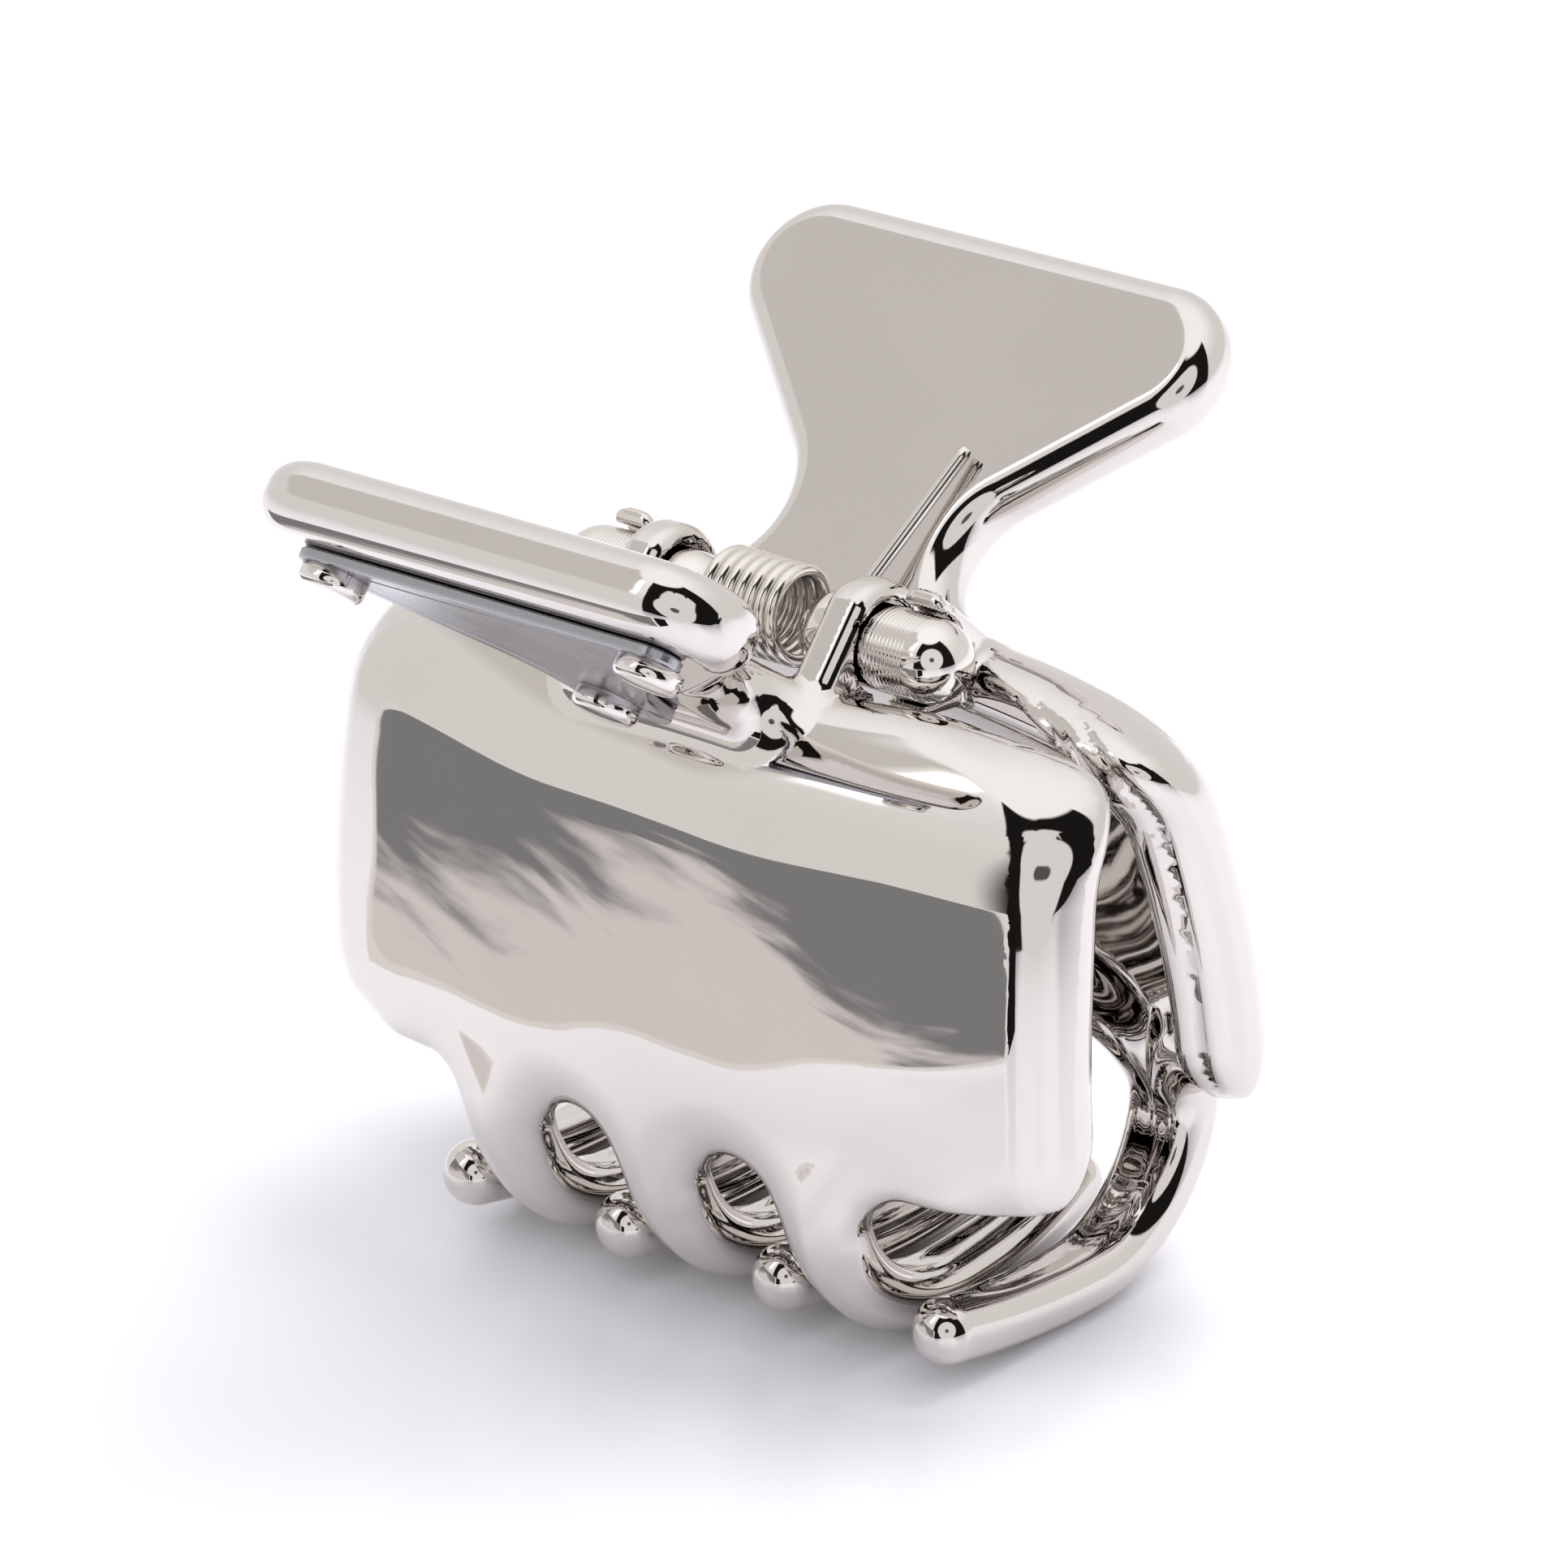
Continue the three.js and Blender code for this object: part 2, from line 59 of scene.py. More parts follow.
# ---- shape of a casting ----
VOXEL = 0.33
HANDLE_SLOPE = 42.4 * DEG
HANDLE_TOP = 20.6
HANDLE_HALF = 14.2
HANDLE_CORNER = 4.0
HANDLE_RIM = 1.62
NECK_HALF = 5.6
NECK_T = 4.9
NECK_R = 4.0
BEND = (4.8, -2.5)
SHEET_R = 1.8                 # half the thickness of the casting, and the radius of its rim
PLATE_HALF = 24.0             # measured round the corner and along the side wall
PLATE_END = 21.9              # length of the plate down its middle, from the bend
PLATE_TOP_R = 6.0
PLATE_BOTTOM_R = 3.8
SIDE = 21.5                   # middle of the side wall's thickness
SIDE_R = 0.5                  # round between face and side wall at the bottom, mid thickness
SIDE_R_TOP = 0.8              # and at the top
PLATE_CORNER = 3.6            # round of the face's upper corners, seen from the front
BOW = 3.0                     # how far the face falls back towards its two ends
SEAM = 0.2                    # half the gap left between the side walls of the two jaws
SEAM_R = 0.8                  # round of the walls along that gap
SEAM_HEIGHTS = (-27, -23)     # below these the teeth do cross the middle
PILLOW = 3.3                  # how far in the outer face starts to fall away to the rim
TOOTH_PITCH = 10.0
TOOTH_ROOT_HALF = 2.4
TOOTH_TIP_R = 1.65
ARCH_R = 2.6
PIN_R = 2.05
EAR_CLEARANCE = 0.18
EAR_R = 3.1
# side profile of the casting: (radius, heading it turns to), from the bend to the tooth tip
PROFILE = [(8.0, -79), (81.4, -90), (8.2, -180), (36.0, -195.2)]
PROFILE_START = -30


def profile_arcs():
    arcs = []
    y, z = BEND
    heading = PROFILE_START * DEG
    length = 0.0
    for radius, end in PROFILE:
        cy = y + radius * math.sin(heading)
        cz = z - radius * math.cos(heading)
        end *= DEG
        arcs.append((cy, cz, radius, heading, end, length))
        length += radius * (heading - end)
        y, z = cy - radius * math.sin(end), cz + radius * math.cos(end)
        heading = end
    return arcs, length, (y, z), heading


ARCS, SHEET_LENGTH, TIP, TIP_HEADING = profile_arcs()


def plate_middle():
    """The plate's side profile as y against z, softened where it ends."""
    z = np.arange(-45, 25, 0.05)
    y = np.full(z.shape, BEND[0])
    for cy, cz, radius, start, end, _ in ARCS[:2]:
        top, bottom = cz + radius * math.cos(start), cz + radius * math.cos(end)
        inside = (z <= top) & (z >= bottom)
        y[inside] = cy + np.sqrt(radius ** 2 - (z[inside] - cz) ** 2)
    y[z < bottom] = cy + radius
    kernel = np.exp(-np.linspace(-2.5, 2.5, 101) ** 2)
    padded = np.pad(y, 50, mode="edge")
    return z, np.convolve(padded, kernel / kernel.sum(), mode="valid")


MIDDLE_Z, MIDDLE_Y = plate_middle()


def along_profile(y, z):
    """How far down the side profile each point is, and how far outside it."""
    best = np.full(y.shape, 99.0)
    run = np.full(y.shape, -99.0)
    out = np.full(y.shape, 99.0)

    def offer(s, n, valid):
        better = valid & (np.abs(n) < best)
        best[better] = np.abs(n)[better]
        run[better] = s[better]
        out[better] = n[better]

    for cy, cz, radius, start, end, length in ARCS:
        dy, dz = y - cy, z - cz
        heading = np.arctan2(-dy, dz)
        heading = np.where(heading > 0, heading - 2 * math.pi, heading)
        valid = (heading <= start + 1e-9) & (heading >= end - 1e-9)
        offer(length + radius * (start - heading), np.hypot(dy, dz) - radius, valid)
    for (py, pz), heading, length, sign in (
        (BEND, PROFILE_START * DEG, 0.0, -1),
        (TIP, TIP_HEADING, SHEET_LENGTH, 1),
    ):
        dy, dz = y - py, z - pz
        s = dy * math.cos(heading) + dz * math.sin(heading)
        n = -dy * math.sin(heading) + dz * math.cos(heading)
        offer(length + s, n, (sign * s > -1e-9) & (np.hypot(s, n) < 7))
    return run, out


def smoothstep(low, high, value):
    t = np.clip((value - low) / (high - low), 0, 1)
    return t * t * (3 - 2 * t)


def union_round(a, b, radius):
    fillet = np.hypot(np.maximum(radius - a, 0), np.maximum(radius - b, 0))
    return np.maximum(radius, np.minimum(a, b)) - fillet


def intersect_round(a, b, radius):
    return -union_round(-a, -b, radius)


def sheet_outline(x, s, centres):
    """Flat outline of plate and teeth: x round the wrapped ends, s down the profile."""
    top, bottom = -SHEET_R, PLATE_END
    middle, half = (top + bottom) / 2, (bottom - top) / 2
    corner = np.where(s < middle, PLATE_TOP_R, PLATE_BOTTOM_R)
    qx = np.abs(x) - PLATE_HALF + corner
    qs = np.abs(s - middle) - half + corner
    plate = np.minimum(np.maximum(qx, qs), 0) - corner
    plate = plate + np.hypot(np.maximum(qx, 0), np.maximum(qs, 0))
    share = np.clip((s - PLATE_END) / (SHEET_LENGTH - PLATE_END), 0, 1)
    half_width = TOOTH_ROOT_HALF + (TOOTH_TIP_R - TOOTH_ROOT_HALF) * share
    teeth = np.full(x.shape, 99.0)
    for centre in centres:
        across = np.hypot(x - centre, np.maximum(s - SHEET_LENGTH, 0)) - half_width
        teeth = np.minimum(teeth, np.maximum(across, 8 - s))
    return union_round(plate, teeth, ARCH_R)


def sheet_field(x, y, z, centres):
    """The curved tray and its teeth, one sheet with a fully rounded rim."""
    middle = np.interp(z, MIDDLE_Z, MIDDLE_Y)
    upper = np.minimum((np.maximum(z + 17, 0) / 9) ** 2, 2)
    low = smoothstep(-26, -20, z)
    bow = BOW * (np.abs(x) / SIDE) ** 2 * (1 + 0.1 * upper)
    bow = bow * (low + (1 - low) * smoothstep(17, 21, np.abs(x)))
    q = y - middle + bow
    rise = np.clip((z - BEND[1]) / PLATE_CORNER + 1, 0, 2)
    inset = PLATE_CORNER * rise ** 2 * (0.5 + 0.25 * rise ** 2)
    side = np.abs(x) - SIDE + 0.3 * upper + inset
    on_wall = smoothstep(-1.0, 1.0, side - q)
    wrapped_x = np.sign(x) * (np.minimum(np.abs(x) + inset, SIDE) + on_wall * np.maximum(-q, 0))
    wrapped_q = intersect_round(q, side, SIDE_R + (SIDE_R_TOP - SIDE_R) * upper / 2)
    wrapped = smoothstep(-27.5, -23.5, z)
    flat_x = x + (wrapped_x - x) * wrapped
    flat_q = q + (wrapped_q - q) * wrapped
    s, n = along_profile(middle + flat_q, z)
    outline = sheet_outline(flat_x, s, centres)
    share = np.clip((s - PLATE_END) / (SHEET_LENGTH - PLATE_END), 0, 1)
    thick = SHEET_R + (TOOTH_TIP_R - SHEET_R) * share
    wave = np.sin(0.42 * flat_x + 1.3) * np.sin(0.55 * s + 0.4 + 0.05 * flat_x)
    n = n - 0.03 * wave
    reach = np.where(n > 0, PILLOW + (thick - PILLOW) * share, thick)
    u = np.maximum(outline + reach, 0) / reach * thick
    hollow = 0.85 * smoothstep(2.0, 5.0, -outline) * (1 - share)
    channel = 0.32 * smoothstep(0.5, 1.9, -outline) * smoothstep(0.02, 0.2, share)
    channel = channel * (1 - smoothstep(0.8, 0.97, share))
    inner = thick - 2 * hollow - channel
    level = np.where(n < 0, n * thick / inner, n)
    return np.hypot(u, level) - thick


def handle_chain(inset):
    """Right half of the handle's outline as lines and arcs, from the top middle down."""
    cx, ct = HANDLE_HALF - HANDLE_CORNER, HANDLE_TOP - HANDLE_CORNER
    nx, nt = NECK_HALF + NECK_R, NECK_T
    span = math.hypot(nx - cx, nt - ct)
    turn = math.atan2(nt - ct, nx - cx) + math.acos((HANDLE_CORNER + NECK_R) / span)
    corner, neck = HANDLE_CORNER - inset, NECK_R + inset
    away = (math.cos(turn), math.sin(turn))
    start = (cx + corner * away[0], ct + corner * away[1])
    end = (nx - neck * away[0], nt - neck * away[1])
    return [
        ("line", (0, HANDLE_TOP - inset), (cx, HANDLE_TOP - inset)),
        ("arc", (cx, ct), corner, math.pi / 2, turn),
        ("line", start, end),
        ("hollow", (nx, nt), neck, turn + math.pi, 1.5 * math.pi),
        ("line", (nx, nt - neck), (60, nt - neck)),
    ]


def chain_distance(x, t, chain):
    """Signed distance to a smooth outline whose inside is on the right as it is walked."""
    best = np.full(x.shape, 999.0)
    for kind, first, *rest in chain:
        if kind == "line":
            (x0, t0), (x1, t1) = first, rest[0]
            length = math.hypot(x1 - x0, t1 - t0)
            dx, dt = (x1 - x0) / length, (t1 - t0) / length
            along = np.clip((x - x0) * dx + (t - t0) * dt, 0, length)
            away = np.hypot(x - x0 - along * dx, t - t0 - along * dt)
            left = dx * (t - t0) - dt * (x - x0)
            offer = np.where(left > 0, away, -away)
        else:
            radius, start, end = rest
            angle = np.arctan2(t - first[1], x - first[0])
            middle = (start + end) / 2
            off = np.abs((angle - middle + math.pi) % (2 * math.pi) - math.pi)
            reach = np.hypot(x - first[0], t - first[1]) - radius
            if kind == "hollow":
                reach = -reach
            offer = np.where(off <= abs(end - start) / 2, reach, 999.0)
        best = np.where(np.abs(offer) < np.abs(best), offer, best)
    return best


HANDLE = handle_chain(0)


def handle_field(x, y, z):
    dy, dz = y - BEND[0], z - BEND[1]
    t = dy * math.cos(HANDLE_SLOPE) + dz * math.sin(HANDLE_SLOPE)
    n = -dy * math.sin(HANDLE_SLOPE) + dz * math.cos(HANDLE_SLOPE)
    outline = chain_distance(np.abs(x), t, HANDLE)
    outline = outline + 2.6 * smoothstep(7.5, 11.5, np.abs(x)) * (1 - smoothstep(2, 5, t))
    outline = np.maximum(outline, -t)
    u, v = outline + HANDLE_RIM, np.abs(n) - SHEET_R + HANDLE_RIM
    round_part = np.hypot(np.maximum(u, 0), np.maximum(v, 0))
    return np.minimum(np.maximum(u, v), 0) + round_part - HANDLE_RIM


def ear_field(x, y, z, span, start, end):
    """A knuckle round the pin with a web to the bend, cut away between two angles."""
    along = np.clip((y * BEND[0] + z * BEND[1]) / (BEND[0] ** 2 + BEND[1] ** 2), 0, 1)
    side = np.hypot(y - along * BEND[0], z - along * BEND[1])
    outer = side - (EAR_R + (SHEET_R - 0.5 - EAR_R) * along)
    rim = 0.8
    u = outer + rim
    v = np.abs(np.abs(x) - (span[0] + span[1]) / 2) - (span[1] - span[0]) / 2 + rim
    body = np.minimum(np.maximum(u, v), 0)
    body = body + np.hypot(np.maximum(u, 0), np.maximum(v, 0)) - rim
    body = intersect_round(body, PIN_R + EAR_CLEARANCE - np.hypot(y, z), 0.15)
    first = -y * math.sin(start) + z * math.cos(start)
    second = y * math.sin(end) - z * math.cos(end)
    return intersect_round(body, np.minimum(first, second), 0.35)


def casting_field(x, y, z, centres, ear):
    sheet = sheet_field(x, y, z, centres)
    past_seam = SEAM - y - 20 * (1 - smoothstep(*SEAM_HEIGHTS, z))
    sheet = intersect_round(sheet, past_seam, SEAM_R)
    handle = handle_field(x, y, z)
    crease = smoothstep(0.2, 1.8, y - BEND[0]) * (1 - smoothstep(6, 10.5, np.abs(x)))
    fillet = 0.05 + 1.2 * crease
    return union_round(union_round(sheet, handle, fillet), ear_field(x, y, z, *ear), 0.5)


# ---- from a field to a mesh ----
def field_mesh(field, low, high, voxel):
    """Closed quad mesh on the zero of a field, with exact normals."""
    axes = [np.arange(a, b + voxel, voxel) for a, b in zip(low, high)]
    grid = np.meshgrid(*axes, indexing="ij")
    value = field(*grid)
    inside = value < 0
    shape = tuple(n - 1 for n in value.shape)
    total = np.zeros(shape + (3,))
    count = np.zeros(shape)
    corners = [(i, j, k) for i in (0, 1) for j in (0, 1) for k in (0, 1)]

    def corner_slice(array, c):
        return array[c[0]:c[0] + shape[0], c[1]:c[1] + shape[1], c[2]:c[2] + shape[2]]

    for a in corners:
        for axis in range(3):
            if a[axis]:
                continue
            b = tuple(1 if i == axis else a[i] for i in range(3))
            va, vb = corner_slice(value, a), corner_slice(value, b)
            crossing = corner_slice(inside, a) != corner_slice(inside, b)
            step = np.where(crossing, va / np.where(crossing, va - vb, 1), 0)
            count += crossing
            for i in range(3):
                place = a[i] + (step if i == axis else 0)
                total[..., i] += np.where(crossing, place, 0)
    active = count > 0
    index = np.full(shape, -1)
    index[active] = np.arange(active.sum())
    cell = np.argwhere(active)
    points = (cell + total[active] / count[active][:, None]) * voxel + np.array(low)
    quads = []
    for axis in range(3):
        u, v = [(1, 2), (2, 0), (0, 1)][axis]
        lead = [slice(None)] * 3
        lead[axis] = slice(0, -1)
        back = [slice(None)] * 3
        back[axis] = slice(1, None)
        change = inside[tuple(lead)] != inside[tuple(back)]
        places = np.argwhere(change)
        keep = (places[:, u] > 0) & (places[:, v] > 0)
        keep &= (places[:, u] < shape[u]) & (places[:, v] < shape[v])
        places = places[keep]
        ring = []
        for du, dv in ((0, 0), (1, 0), (1, 1), (0, 1)):
            neighbour = places.copy()
            neighbour[:, u] -= du
            neighbour[:, v] -= dv
            ring.append(index[tuple(neighbour.T)])
        ring = np.stack(ring, axis=1)
        outward = inside[tuple(places.T)]
        ring[~outward] = ring[~outward][:, ::-1]
        quads.append(ring)
    quads = np.concatenate(quads)

    def gradient(p, h=0.01):
        g = np.empty_like(p)
        for i in range(3):
            step = np.zeros(3)
            step[i] = h
            g[:, i] = (field(*(p + step).T) - field(*(p - step).T)) / (2 * h)
        return g

    for _ in range(4):
        g = gradient(points)
        distance = field(*points.T)
        move = distance[:, None] * g / np.maximum((g * g).sum(1), 0.05)[:, None]
        points = points - np.clip(move, -voxel / 2, voxel / 2)
    g = gradient(points, 0.03)
    normals = g / np.maximum(np.linalg.norm(g, axis=1), 1e-9)[:, None]
    return points, quads, normals


def mesh_object(name, points, faces, normals=None):
    mesh = bpy.data.meshes.new(name)
    mesh.from_pydata([tuple(p) for p in points], [], [tuple(f) for f in faces])
    mesh.validate()
    mesh.polygons.foreach_set("use_smooth", [True] * len(mesh.polygons))
    if normals is not None:
        mesh.normals_split_custom_set_from_vertices([tuple(n) for n in normals])
    obj = bpy.data.objects.new(name, mesh)
    bpy.context.scene.collection.objects.link(obj)
    return obj


def placed(points, front):
    """From hinge-axis millimetres to the CAD frame; the front jaw is turned half a turn."""
    points = np.array(points, float)
    if front:
        points = points * np.array([-1, -1, 1])
    return (points + np.array([0, 0, HINGE_Z])) * MM


def casting(name, count, ear, front):
    centres = [(i - (count - 1) / 2) * TOOTH_PITCH for i in range(count)]
    points, quads, normals = field_mesh(
        lambda x, y, z: casting_field(x, y, z, centres, ear),
        (-24.2, -11, -34.4), (24.2, 23, 14), VOXEL)
    if front:
        normals = normals * np.array([-1, -1, 1])
    obj = mesh_object(name, placed(points, front), quads, normals)
    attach(obj, "front" if front else "back")
    return obj


STRAP = ((5.2, 7.5), 215 * DEG, 292 * DEG)
SADDLE = ((7.9, 10.3), 70 * DEG, 250 * DEG)
back_casting = casting("back_jaw_casting", 4, SADDLE, False)
front_casting = casting("front_jaw_casting", 3, STRAP, True)
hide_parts("back_jaw")
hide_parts("front_jaw")


# ---- turned pieces ----
def lathe(profile, segments):
    """Closed mesh turned round +X from (x, radius) pairs that start and end on the axis."""
    points = [(profile[0][0], 0, 0)]
    for x, radius in profile[1:-1]:
        for k in range(segments):
            a = 2 * math.pi * k / segments
            points.append((x, radius * math.cos(a), radius * math.sin(a)))
    points.append((profile[-1][0], 0, 0))
    faces = []
    rings = len(profile) - 2
    for k in range(segments):
        after = (k + 1) % segments
        faces.append((0, 1 + after, 1 + k))
        for r in range(rings - 1):
            a, b = 1 + r * segments, 1 + (r + 1) * segments
            faces.append((a + k, a + after, b + after, b + k))
        last = 1 + (rings - 1) * segments
        faces.append((last + k, last + after, len(points) - 1))
    return points, faces


def pin_profile():
    profile = []
    start, end = 2.7, 12.3
    for i in range(13):
        a = math.pi / 2 * i / 12
        profile.append((start + PIN_R * (1 - math.cos(a)), PIN_R * math.sin(a)))
    ring_from, ring_to, rings = 7.8, 10.1, 10
    for i in range(rings * 4 + 1):
        x = ring_from + (ring_to - ring_from) * i / (rings * 4)
        profile.append((x, PIN_R - (0.018 if i % 4 == 2 else 0)))
    for i in range(13):
        a = math.pi / 2 * i / 12
        profile.append((end - PIN_R * (1 - math.sin(a)), PIN_R * math.cos(a)))
    return profile


def pin(name, sign, node):
    points, faces = lathe(pin_profile(), 72)
    points = np.array(points) * np.array([sign, sign, 1])
    obj = mesh_object(name, placed(points, False), faces)
    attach(obj, "back")
    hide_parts(node)
    return obj


pins = [pin("hinge_barrel_right", 1, "hinge_pin_right"),
        pin("hinge_barrel_left", -1, "hinge_pin_left")]

# ---- torsion spring ----
WIRE_R = 0.33
COIL_R = 2.15
COIL_PITCH = 0.69
COIL_TURNS = 7
COIL_LIFT = 0.4
LEG = 11.2
LEG_DRIFT = 0.16


def spring():
    face = BEND[0] * math.sin(HANDLE_SLOPE) - BEND[1] * math.cos(HANDLE_SLOPE)
    face += COIL_LIFT * math.cos(HANDLE_SLOPE) - SHEET_R
    lean = math.asin((face - WIRE_R - 0.25 - COIL_R) / LEG)
    leg_angle = HANDLE_SLOPE - lean
    sweep = 2 * math.pi * COIL_TURNS + 2 * leg_angle
    coil = COIL_R * sweep
    width = COIL_PITCH * sweep / (2 * math.pi)
    run = np.concatenate([
        np.linspace(-LEG, 0, 24, endpoint=False),
        np.linspace(0, coil, int(sweep / (6 * DEG)), endpoint=False),
        np.linspace(coil, coil + LEG, 25),
    ])
    along = np.clip(run, 0, coil)
    angle = 1.5 * math.pi - leg_angle + along / COIL_R
    spare = run - along
    path = np.stack([
        (along / coil - 0.5) * width + spare * LEG_DRIFT,
        COIL_R * np.cos(angle) - spare * np.sin(angle),
        COIL_LIFT + COIL_R * np.sin(angle) + spare * np.cos(angle),
    ], axis=1)
    tangent = np.gradient(path, axis=0)
    tangent /= np.linalg.norm(tangent, axis=1)[:, None]
    across = np.cross(tangent, [1.0, 0, 0])
    across /= np.linalg.norm(across, axis=1)[:, None]
    other = np.cross(tangent, across)
    sides = 16
    rings = [(0, 0.0), (0, 0.82)] + [(i, 1.0) for i in range(len(path))]
    rings += [(len(path) - 1, 0.82), (len(path) - 1, 0.0)]
    points = []
    for k, (i, scale) in enumerate(rings):
        push = 0.05 if k in (0, 1) else -0.05 if k >= len(rings) - 2 else 0.0
        centre = path[i] - tangent[i] * push
        for j in range(sides):
            a = 2 * math.pi * j / sides
            offset = across[i] * math.cos(a) + other[i] * math.sin(a)
            points.append(centre + offset * WIRE_R * scale)
        if scale == 0.0:
            del points[-(sides - 1):]
    faces = []
    first = 1
    count = len(rings) - 2
    for k in range(sides):
        after = (k + 1) % sides
        faces.append((0, first + k, first + after))
        for r in range(count - 1):
            a, b = first + r * sides, first + (r + 1) * sides
            faces.append((a + k, b + k, b + after, a + after))
        last = first + (count - 1) * sides
        faces.append((last + k, len(points) - 1, last + after))
    obj = mesh_object("spring_wire", placed(points, False), faces)
    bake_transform(obj)
    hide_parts("torsion_spring")
    return obj


wire = spring()

# ---- badge ----
BADGE_INSET = 2.7
BADGE_THICKNESS = 0.6
BADGE_TONGUE = 5.9
BADGE_GAP = 0.05
STUD_PLACES = {"left": (-9.8, 16.1), "right": (9.8, 16.1), "lower": (0.0, 6.2)}


def on_handle(points):
    """From (across, up the slope, out of the outer face) on the handle to the hinge frame."""
    points = np.array(points, float)
    depth = -SHEET_R - points[:, 2]
    y = BEND[0] + points[:, 1] * math.cos(HANDLE_SLOPE) - depth * math.sin(HANDLE_SLOPE)
    z = BEND[1] + points[:, 1] * math.sin(HANDLE_SLOPE) + depth * math.cos(HANDLE_SLOPE)
    return np.stack([points[:, 0], y, z], axis=1)


def badge_outline(inset):
    """The handle's own outline drawn further in, closed by a round tongue at the neck."""
    right = []
    chain = handle_chain(inset)
    for kind, first, *rest in chain[1:4]:
        if kind == "line":
            steps = [i / 12 for i in range(1, 12)]
            right += [(first[0] + (rest[0][0] - first[0]) * s,
                       first[1] + (rest[0][1] - first[1]) * s) for s in steps]
            continue
        radius, start, end = rest
        end = math.pi if kind == "hollow" else end
        for i in range(17):
            a = start + (end - start) * i / 16
            right.append((first[0] + radius * math.cos(a), first[1] + radius * math.sin(a)))
    tongue = NECK_HALF - inset
    for i in range(1, 17):
        a = -math.pi / 2 * i / 16
        right.append((tongue * math.cos(a), BADGE_TONGUE + tongue * math.sin(a)))
    left = [(-x, t) for x, t in right[-2::-1]]
    return right + left


def badge():
    levels = [(0.0, 0.12), (0.12, 0.0), (BADGE_THICKNESS - 0.14, 0.0),
              (BADGE_THICKNESS - 0.04, 0.05), (BADGE_THICKNESS, 0.16),
              (BADGE_THICKNESS, 0.95), (BADGE_THICKNESS - 0.06, 1.02),
              (BADGE_THICKNESS - 0.06, 1.16), (BADGE_THICKNESS, 1.23)]
    points, faces = [], []
    count = len(badge_outline(BADGE_INSET))
    for height, shrink in levels:
        outline = badge_outline(BADGE_INSET + shrink)
        points += [(x, t, BADGE_GAP + height) for x, t in outline]
    for r in range(len(levels) - 1):
        for k in range(count):
            after = (k + 1) % count
            a, b = r * count, (r + 1) * count
            faces.append((a + k, b + k, b + after, a + after))
    faces.append(tuple(range(count)))
    top = (len(levels) - 1) * count
    faces.append(tuple(top + k for k in reversed(range(count))))
    obj = mesh_object("badge_blank", placed(on_handle(points), True), faces)
    obj.data.polygons.foreach_set("use_smooth", [False] * len(obj.data.polygons))
    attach(obj, "front")
    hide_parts("badge_plate")
    return obj


def stud_profile():
    base, radius, height, crown = 0.62, 1.65, 1.0, 0.42
    profile = [(base, 0), (base, radius - 0.12), (base + 0.05, radius)]
    for i in range(9):
        a = math.pi / 2 * i / 8
        profile.append((base + height - crown * (1 - math.sin(a)),
                        radius - crown * (1 - math.cos(a))))
    profile += [(base + height + 0.05, 0.7), (base + height + 0.07, 0)]
    return profile


def stud(side, place):
    points, faces = lathe(stud_profile(), 48)
    points = [(place[0] + y, place[1] + z, x) for x, y, z in points]
    obj = mesh_object("rivet_" + side, placed(on_handle(points), True), faces)
    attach(obj, "front")
    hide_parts("badge_stud_" + side)
    return obj


badge_piece = badge()
# the front jaw is the drawing turned half a turn, so its right-hand stud has negative x
rivets = [stud(side, (-x, t)) for side, (x, t) in STUD_PLACES.items()]


# ---- materials ----
def material(name):
    made = bpy.data.materials.new(name)
    made.use_nodes = True
    nodes = made.node_tree.nodes
    return made, nodes, made.node_tree.links, nodes["Principled BSDF"]


def noise(nodes, links, scale, detail, stretch=None):
    place = nodes.new("ShaderNodeTexCoord")
    texture = nodes.new("ShaderNodeTexNoise")
    texture.inputs["Scale"].default_value = scale
    texture.inputs["Detail"].default_value = detail
    if stretch:
        mapping = nodes.new("ShaderNodeMapping")
        mapping.inputs["Scale"].default_value = stretch
        links.new(place.outputs["Object"], mapping.inputs["Vector"])
        links.new(mapping.outputs["Vector"], texture.inputs["Vector"])
    else:
        links.new(place.outputs["Object"], texture.inputs["Vector"])
    return texture


def ranged(nodes, links, source, low, high, from_low=0.3, from_high=0.7):
    node = nodes.new("ShaderNodeMapRange")
    node.inputs["From Min"].default_value = from_low
    node.inputs["From Max"].default_value = from_high
    node.inputs["To Min"].default_value = low
    node.inputs["To Max"].default_value = high
    links.new(source, node.inputs["Value"])
    return node.outputs["Result"]


def metal(name, color, rough_low, rough_high, wave, scratch):
    made, nodes, links, shader = material(name)
    shader.inputs["Metallic"].default_value = 1.0
    tint = noise(nodes, links, 90, 3)
    ramp = nodes.new("ShaderNodeMixRGB")
    ramp.inputs["Color1"].default_value = (*color, 1)
    ramp.inputs["Color2"].default_value = tuple(c * 0.95 for c in color) + (1,)
    links.new(tint.outputs["Fac"], ramp.inputs["Fac"])
    links.new(ramp.outputs["Color"], shader.inputs["Base Color"])
    haze = noise(nodes, links, 260, 6)
    links.new(ranged(nodes, links, haze.outputs["Fac"], rough_low, rough_high),
              shader.inputs["Roughness"])
    swell = noise(nodes, links, 110, 2)
    bump = nodes.new("ShaderNodeBump")
    bump.inputs["Strength"].default_value = 1.0
    bump.inputs["Distance"].default_value = wave
    links.new(swell.outputs["Fac"], bump.inputs["Height"])
    marks = noise(nodes, links, 4200, 2, (1.0, 0.08, 0.08))
    fine = nodes.new("ShaderNodeBump")
    fine.inputs["Strength"].default_value = 1.0
    fine.inputs["Distance"].default_value = scratch
    links.new(marks.outputs["Fac"], fine.inputs["Height"])
    links.new(bump.outputs["Normal"], fine.inputs["Normal"])
    links.new(fine.outputs["Normal"], shader.inputs["Normal"])
    return made


